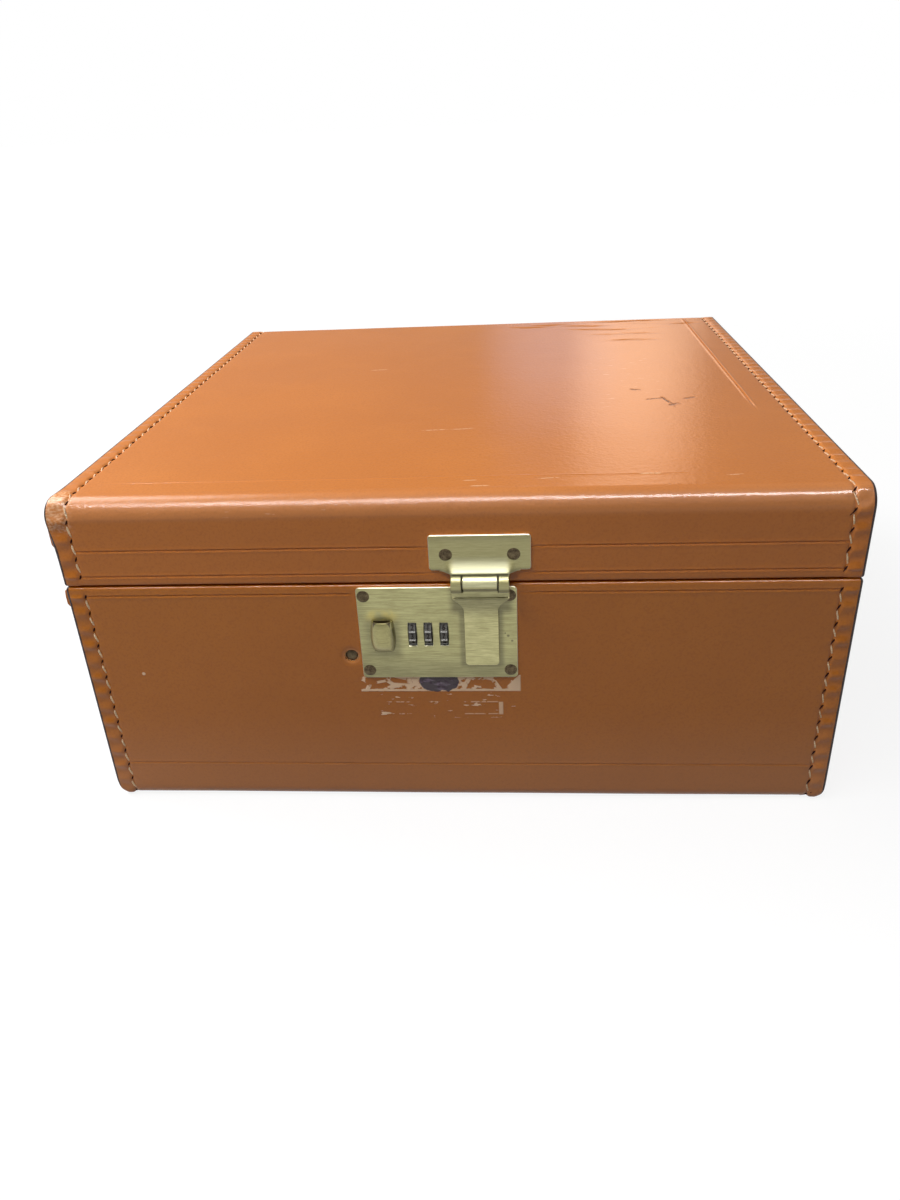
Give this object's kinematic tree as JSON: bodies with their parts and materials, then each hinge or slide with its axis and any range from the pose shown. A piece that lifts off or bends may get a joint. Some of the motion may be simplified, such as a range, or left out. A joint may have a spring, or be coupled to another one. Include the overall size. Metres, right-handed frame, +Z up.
{
  "type": "travel bar case",
  "caption": "Square leather-covered hard case with a rear-hinged lid, stitched ends, brass combination lock plate, swinging hasp and fitted bottle and tumbler bays.",
  "frame": {"origin": "centre of the bottom face, on the floor", "axes": "+X to the right as seen from the front, +Y from the lock side to the hinge side, +Z up"},
  "size_m": [0.4, 0.4329, 0.183],
  "materials": {
    "leather": "glossy tan saddle leather with light wear",
    "dark_leather": "dark brown skiver leather on board",
    "board": "plain plywood",
    "lining": "short napped cloth",
    "thread": "waxed linen thread",
    "brass": "brushed satin, slightly tarnished",
    "dark_rivet": "dark oxidised",
    "nickel": "satin nickel",
    "steel": "zinc plated"
  },
  "bodies": {
    "base": {"base_carcass": "board", "base_wrap": "leather", "base_end_left": "leather", "base_end_right": "leather", "base_lining": "lining", "inner_rim": "dark_leather", "bottle_divider_left": "dark_leather", "bottle_divider_right": "dark_leather", "tumbler_front_divider": "dark_leather", "tumbler_cross_divider": "dark_leather", "tumbler_long_divider": "dark_leather", "lock_plate": "brass", "lock_plate_rivets": "dark_rivet", "front_rivet": "dark_rivet", "lock_case": "steel", "dial_spindle": "steel", "spindle_collar": "steel", "detent_strip": "steel", "return_spring": "steel", "hinge_base_leaf_left": "brass", "hinge_base_leaf_right": "brass", "hinge_pin_left": "steel", "hinge_pin_right": "steel", "hinge_base_rivets": "dark_rivet"},
    "lid": {"lid_carcass": "board", "lid_wrap": "leather", "lid_end_left": "leather", "lid_end_right": "leather", "lid_lining": "lining", "lid_pad": "lining", "hinge_lid_leaf_left": "brass", "hinge_lid_leaf_right": "brass", "hinge_lid_rivets": "dark_rivet", "hasp_bracket": "brass", "hasp_bracket_rivets": "dark_rivet", "hasp_pin": "steel"},
    "hasp": {"hasp": "brass", "hasp_catch": "steel"},
    "thumb_slide": {"thumb_hood": "brass", "latch_bar": "steel"},
    "left_dial": {"dial_left": "nickel"},
    "middle_dial": {"dial_middle": "nickel"},
    "right_dial": {"dial_right": "nickel"}
  },
  "joints": [
    {"name": "lid_hinge", "type": "hinge", "parent": "base", "child": "lid", "pos_m": [0, 0.2113, 0.1367], "axis": [-1, 0, 0], "range_deg": [0, 100]},
    {"name": "hasp_hinge", "type": "hinge", "parent": "lid", "child": "hasp", "pos_m": [0.0146, -0.2125, 0.1395], "axis": [-1, 0, 0], "range_deg": [0, 160]},
    {"name": "thumb_slide_push", "type": "slide", "parent": "base", "child": "thumb_slide", "axis": [0, 0, -1], "range_m": [0, 0.005], "stiffness_N_per_m": 300, "springref_m": -0.003, "deforming": ["return_spring"]},
    {"name": "left_dial_turn", "type": "hinge", "parent": "base", "child": "left_dial", "pos_m": [-0.02115, -0.2029, 0.10795], "axis": [1, 0, 0], "continuous": true},
    {"name": "middle_dial_turn", "type": "hinge", "parent": "base", "child": "middle_dial", "pos_m": [-0.013, -0.2029, 0.10795], "axis": [1, 0, 0], "continuous": true},
    {"name": "right_dial_turn", "type": "hinge", "parent": "base", "child": "right_dial", "pos_m": [-0.00485, -0.2029, 0.10795], "axis": [1, 0, 0], "continuous": true}
  ]
}
